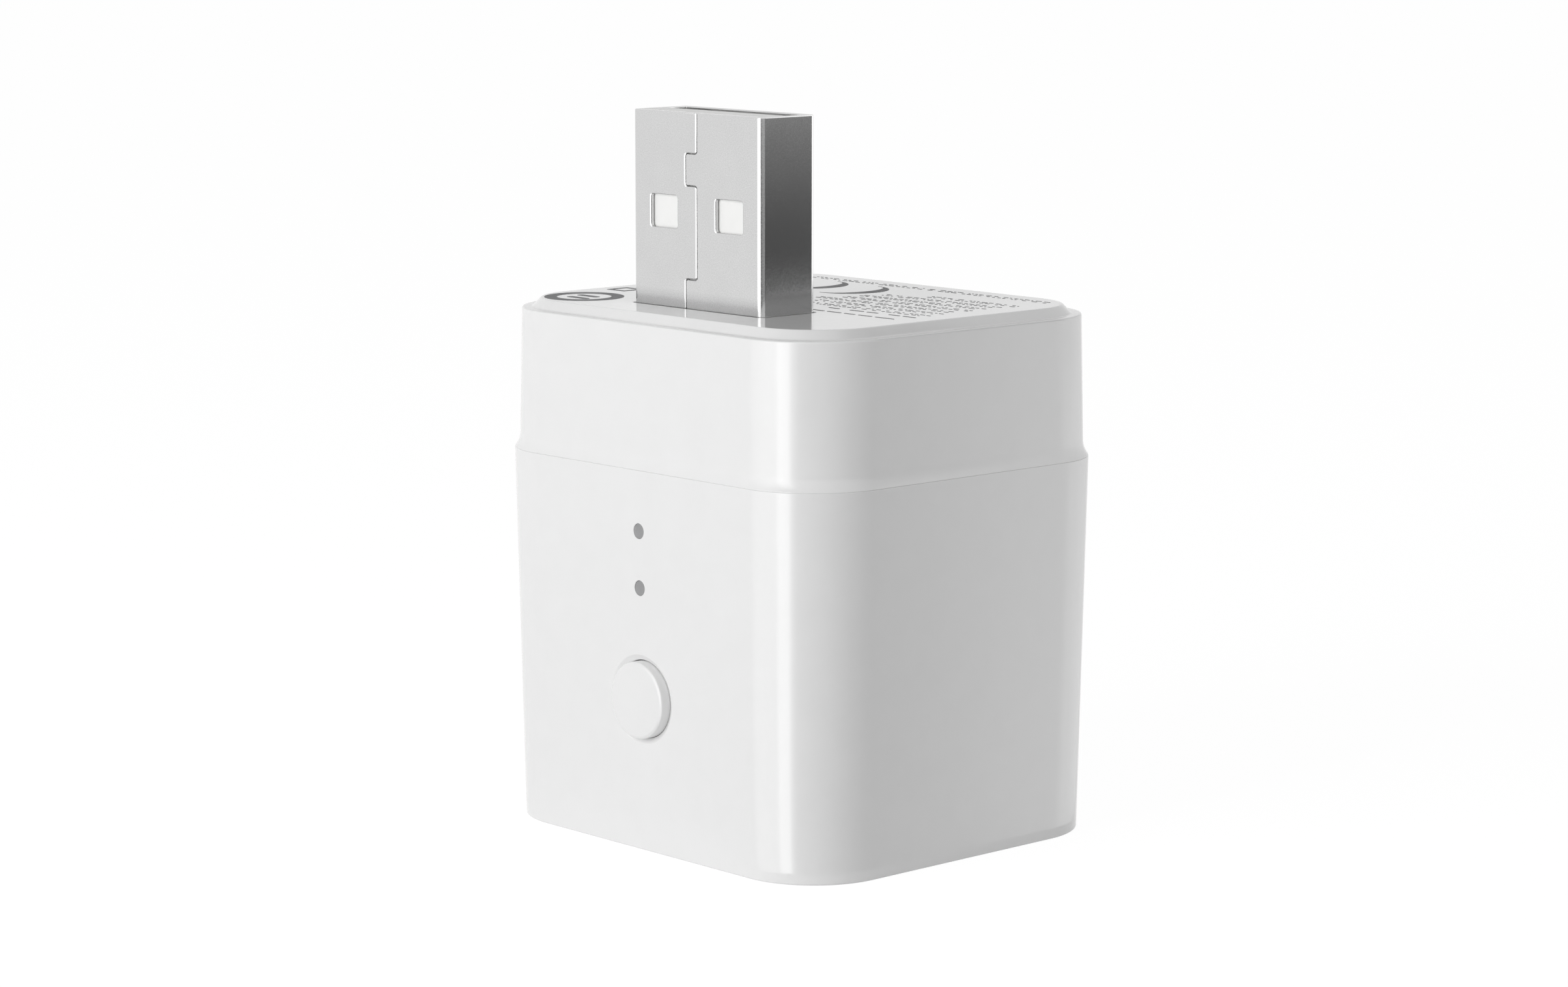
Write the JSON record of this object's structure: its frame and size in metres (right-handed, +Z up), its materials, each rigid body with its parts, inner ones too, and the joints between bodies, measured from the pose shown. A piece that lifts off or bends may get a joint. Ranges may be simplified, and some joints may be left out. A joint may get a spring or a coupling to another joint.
{
  "type": "usb smart switch",
  "caption": "Small box-shaped smart switch with a USB plug on its top face, a USB socket in its bottom face, a round push button and small status lights on the front.",
  "frame": {"origin": "centre of the bottom face, where the socket opens", "axes": "+Z up along the plug, -Y out of the front face with the button and the lights, +X to the right of that face"},
  "size_m": [0.031, 0.0274, 0.0457],
  "materials": {
    "housing_white": "moulded, soft gloss",
    "cover_white": "moulded, soft gloss",
    "button_white": "moulded, soft gloss",
    "switch_black": "moulded",
    "switch_steel": "stamped",
    "tinned_leads": "tinned",
    "board_green": "solder mask on glass laminate",
    "board_blue": "solder mask on glass laminate",
    "plug_steel": "nickel plated, satin grain",
    "socket_steel": "nickel plated, satin grain",
    "insulator_white": "moulded",
    "shield_steel": "pressed",
    "chip_black": "moulded",
    "gold_plate": "plated",
    "capacitor_aluminium": "drawn can",
    "fuse_green": "moulded",
    "ceramic_tan": "sintered",
    "light_grey": "translucent, smoke grey",
    "lamp_cream": "moulded lens"
  },
  "bodies": {
    "housing": {"antenna_trace": "gold_plate", "input_capacitor_base": "chip_black", "input_capacitor_can": "capacitor_aluminium", "lamp_resistors": "chip_black", "lower_housing": "housing_white", "lower_light_rod": "light_grey", "lower_status_lamp": "lamp_cream", "main_board": "board_green", "output_capacitor": "ceramic_tan", "plug_contact_data_minus": "gold_plate", "plug_contact_data_plus": "gold_plate", "plug_contact_ground": "gold_plate", "plug_contact_power": "gold_plate", "plug_insulator": "insulator_white", "plug_shell": "plug_steel", "power_switch_body": "chip_black", "power_switch_leads": "tinned_leads", "radio_board": "board_blue", "radio_chip": "chip_black", "radio_shield": "shield_steel", "regulator_body": "chip_black", "regulator_leads": "tinned_leads", "resettable_fuse": "fuse_green", "socket_contact_data_minus": "gold_plate", "socket_contact_data_plus": "gold_plate", "socket_contact_ground": "gold_plate", "socket_contact_power": "gold_plate", "socket_insulator": "insulator_white", "socket_shell": "socket_steel", "switch_body": "switch_black", "switch_frame": "switch_steel", "switch_terminals": "tinned_leads", "top_cover": "cover_white", "upper_light_rod": "light_grey", "upper_status_lamp": "lamp_cream"},
    "button": {"button_cap": "button_white", "switch_plunger": "switch_black"}
  },
  "joints": [
    {"name": "button_press", "type": "slide", "parent": "housing", "child": "button", "axis": [0, 1, 0], "range_m": [0, 0.00025], "stiffness_N_per_m": 3000}
  ]
}
